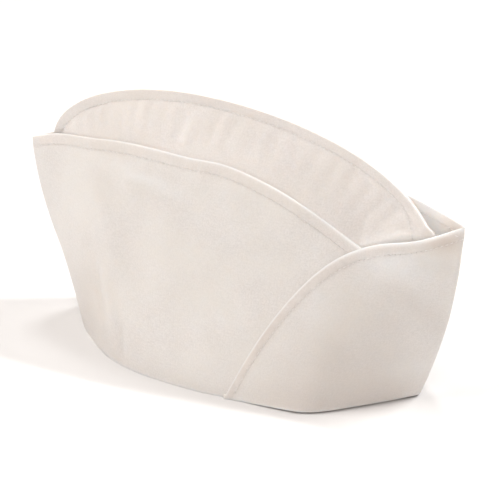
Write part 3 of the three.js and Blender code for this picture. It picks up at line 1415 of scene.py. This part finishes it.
        # Painted highlight along the top edge, strongest high up and at the front, and a painted light line
        # along the rim.
        highlight_strength = lerp(self.low_light, 1.0, smoothstep(*self.low_span, z))
        highlight_strength = highlight_strength * lerp(self.back_light, 1.0, smoothstep(*self.back_span, points[..., 0]))
        at_front = smoothstep(*self.front_span, along_cap) * near
        highlight_strength = highlight_strength * lerp(self.side_light, 1.0, at_front)
        width = self.highlight_width * lerp(1.0, self.front_width, at_front)
        fold = np.maximum(highlight_strength * bell(distance, width), self.rim_light * bell(z, self.highlight_width))
        # Adds the painted highlight patches to the edge highlight.
        fold = np.maximum(fold, painted_highlight_marks)
        # Painted light on the far cuff's inside in the front pocket.
        pocket = smoothstep(*self.pocket_start, strip.place) * smoothstep(*self.pocket_end, strip.place)
        painted_pocket_light = self.pocket_light * pocket * (strip.side > 0.0) * smoothstep(*self.pocket_rise, z)
        # Painted shade: darkens the hem of the flap's rounded edge more.
        flap = near * (self.side is Side.LEFT) * smoothstep(*self.flap_top, along_cap)
        hem = self.hem.band(distance) * lerp(1.0, self.flap_shade, flap)
        return Draping(points, flat, distance, fold, np.clip(painted_shade, 0.0, 1.0), hem, painted_pocket_light)

    def softness(self, strip: CuffColumns, x: Array, z: Array, distance: Array, run: Array) -> Array:
        """Dents and waves of the soft cloth, which fade out at the rim and the creases.

        Args:
            strip: The cuff's columns.
            x: Place along the cap.
            z: Height.
            distance: Distance from the hemmed edge.
            run: Distance along that edge.

        Returns:
            How far the cloth moves outward.
        """
        steady = smoothstep(0.0, self.steady_rise, z) * (1.0 - np.abs(strip.place) ** self.crease_power)
        drift = self.drift * np.sin(x / self.drift_length)
        swing = 0.5 + 0.5 * np.sin(x / self.swing_length + drift)
        sway = self.sway * swing * bell(distance, self.sway_reach)
        puckers = self.hem.puckers(distance, run, self.pucker_seed) * smoothstep(*self.pucker_span, z)
        near = smoothstep(0.0, self.dent_rise, z) * (strip.side < 0.0)
        dents = depth_at(self.dents, x - self.form.shift, z)
        return (self.waves.at(x, z) + sway) * steady + dents * near + puckers

    @staticmethod
    def edge_line(flat: Array) -> Array:
        """Dense line of the top edge on the flat cloth, down to the rim at its far end."""
        return even_path(np.concatenate([flat[-1], flat[:1, -1]]), PATH_STEP)

    def stitch_rows(self, draping: Draping) -> dict[str, tuple[Array, Array]]:
        """Lines of the hem's stitches on both faces.

        Args:
            draping: The cuff's shape.

        Returns:
            Each row's line and the direction out of the cloth along it, by name.
        """
        flat, points = draping.flat, draping.points
        line = self.edge_line(flat)
        row = line + inward_of(line) * self.hem.width
        gaps, _ = distance_to_path(row, line)
        inside = (row > self.stitch_ends).all(axis=1)
        row = row[inside & (gaps > self.stitch_room * self.hem.width)]
        values = np.concatenate([points, self.outward(points)], axis=2)
        path, outward = np.split(np.array([self._on_cloth(values, flat, *spot) for spot in row]), 2, axis=1)
        return {"stitches": (path, outward), "inside_stitches": (path, -outward)}

    @staticmethod
    def _on_cloth(values: Array, flat: Array, run: float, height: float) -> Array:
        """Values of the cloth's grid at one spot.

        Args:
            values: Values at the grid's points.
            flat: Places of those points on the flat cloth.
            run: The spot's place along the cloth.
            height: Its height.

        Returns:
            The values there.
        """
        rows, columns = (np.arange(count) for count in flat.shape[:2])
        column = np.clip(np.interp(run, flat[0, :, 0], columns), 0.0, columns[-1] - GRID_EDGE)
        sides = []
        for index in (int(column), int(column) + 1):
            level = np.clip(np.interp(height, flat[:, index, 1], rows), 0.0, rows[-1] - GRID_EDGE)
            sides.append(lerp(values[int(level), index], values[int(level) + 1, index], level % 1.0))
        return lerp(*sides, column % 1.0)


def away_from(azimuth: float, elevation: float) -> Vector:
    """Direction at an azimuth, which turns from the cap's front to its left, and an elevation."""
    turn, rise = math.radians(azimuth), math.radians(elevation)
    return Vector((math.cos(rise) * math.cos(turn), math.cos(rise) * math.sin(turn), math.sin(rise)))


@dataclass(frozen=True)
class Bar:
    """Long thin lamp that lies along the cap, so that it blurs shadows only lengthways."""

    name: str
    place: Triple
    length: float
    breadth: float
    power: float

    def hang(self, _target: Vector) -> None:
        """Hangs the lamp, turned about its length to face the cap."""
        lamp = Workbench.make(bpy.ops.object.light_add, self.name, type="AREA", location=self.place)
        lamp.data.shape = "RECTANGLE"
        lamp.data.size = self.length
        lamp.data.size_y = self.breadth
        lamp.data.energy = self.power
        lamp.rotation_euler = (-math.atan2(self.place[1], self.place[2]), 0.0, 0.0)


@dataclass(frozen=True)
class Lamp:
    """Soft square lamp that faces the cap."""

    name: str
    azimuth: float
    elevation: float
    distance: float
    size: float
    power: float
    colour: Triple = (1.0, 1.0, 1.0)

    def hang(self, target: Vector) -> None:
        """Hangs the lamp."""
        away = away_from(self.azimuth, self.elevation)
        place = target + away * self.distance
        lamp = Workbench.make(bpy.ops.object.light_add, self.name, type="AREA", location=place)
        lamp.data.energy = self.power
        lamp.data.size = self.size
        lamp.data.color = self.colour
        lamp.rotation_euler = (-away).to_track_quat("-Z", "Y").to_euler()


@dataclass
class Studio:
    """White floor, soft lights and the camera."""

    azimuth: float = -57.0
    elevation: float = 22.4
    distance: float = 1.2
    target: Vector = field(default_factory=lambda: Vector((0.0113, 0.0, 0.0648)))
    lens: float = 146.0
    sensor: float = 36.0
    floor_size: float = 12.0
    room_light: float = 0.25
    room_colour: Colour = (0.98, 0.79, 0.70, 1.0)
    lamps: tuple[Union[Lamp, Bar], ...] = (
        Bar("back_bar", (1.2, 1.1, 2.0), 0.8, 0.12, 44.0),
        Lamp("left_back_lamp", 130.0, 58.0, 2.2, 0.4, 13.5),
        Lamp("left_low_lamp", 215.0, 35.0, 2.2, 1.2, 4.2, WARM_WHITE),
        Lamp("left_high_lamp", 215.0, 58.0, 2.2, 1.4, 24.5, WARM_WHITE),
        Lamp("right_front_lamp", 300.0, 40.0, 2.2, 1.2, 14.0, WARM_WHITE),
    )

    def lay_floor(self) -> None:
        """Lays a plain white floor under the rim."""
        floor = Workbench.make(bpy.ops.mesh.primitive_plane_add, "studio_floor", size=self.floor_size)
        floor.data.materials.append(FloorFinish().material())

    def light_room(self) -> None:
        """Fills the room with even warm light."""
        world = bpy.data.worlds.new("studio_room")
        world.use_nodes = True
        background = world.node_tree.nodes["Background"]
        background.inputs["Color"].default_value = self.room_colour
        background.inputs["Strength"].default_value = self.room_light
        bpy.context.scene.world = world

    def set_camera(self) -> None:
        """Sets the camera at the photograph's angle."""
        back = away_from(self.azimuth, self.elevation)
        place = self.target + back * self.distance
        camera = Workbench.make(bpy.ops.object.camera_add, "photo_camera", location=place)
        camera.data.lens = self.lens
        camera.data.sensor_width = self.sensor
        camera.rotation_euler = (-back).to_track_quat("-Z", "Y").to_euler()
        bpy.context.scene.camera = camera

    def build(self) -> None:
        """Sets up the whole studio."""
        self.lay_floor()
        self.light_room()
        for lamp in self.lamps:
            lamp.hang(self.target)
        self.set_camera()
        bpy.context.scene.view_settings.view_transform = "Standard"


def main() -> None:
    """Builds the cap and the studio, and reports each piece."""
    logging.basicConfig(level=logging.INFO, format="%(name)s: %(message)s")
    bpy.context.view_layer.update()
    form = CapForm()
    thread = {
        Slot.CROWN: ThreadFinish("crown_thread").material(),
        Slot.CUFF: ThreadFinish("cuff_thread", (0.92, 0.89, 0.87, 1.0), (0.84, 0.81, 0.79, 1.0)).material(),
    }
    cotton = {
        Slot.CROWN: CottonFinish(
            "crown_cotton", light=(0.89, 0.858, 0.838, 1.0), dark=(0.715, 0.685, 0.66, 1.0),
            painted_shade_colour=(0.60, 0.57, 0.55, 1.0), hem_shade=0.12, light_depth=1.0 * MM).material(),
        Slot.CUFF: CottonFinish("cuff_cotton").material(),
    }
    panels = [
        *(CrownPanel(form, side) for side in Side),
        Cuff(form, Side.LEFT, dents=FLAP_FOLDS, painted_shade=FLAP_SHADE_MARKS, painted_highlight_marks=FLAP_HIGHLIGHT_MARKS),
        Cuff(form, Side.RIGHT, dents=NEAR_FOLDS, painted_shade=NEAR_SHADE_MARKS, painted_highlight_marks=NEAR_HIGHLIGHT_MARKS),
    ]
    for panel in panels:
        for piece in panel.build(cotton[panel.slot], thread[panel.slot]):
            LOG.info("%s has %d faces", piece.name, len(piece.data.polygons))
    Studio().build()


if __name__ == "__main__":
    main()
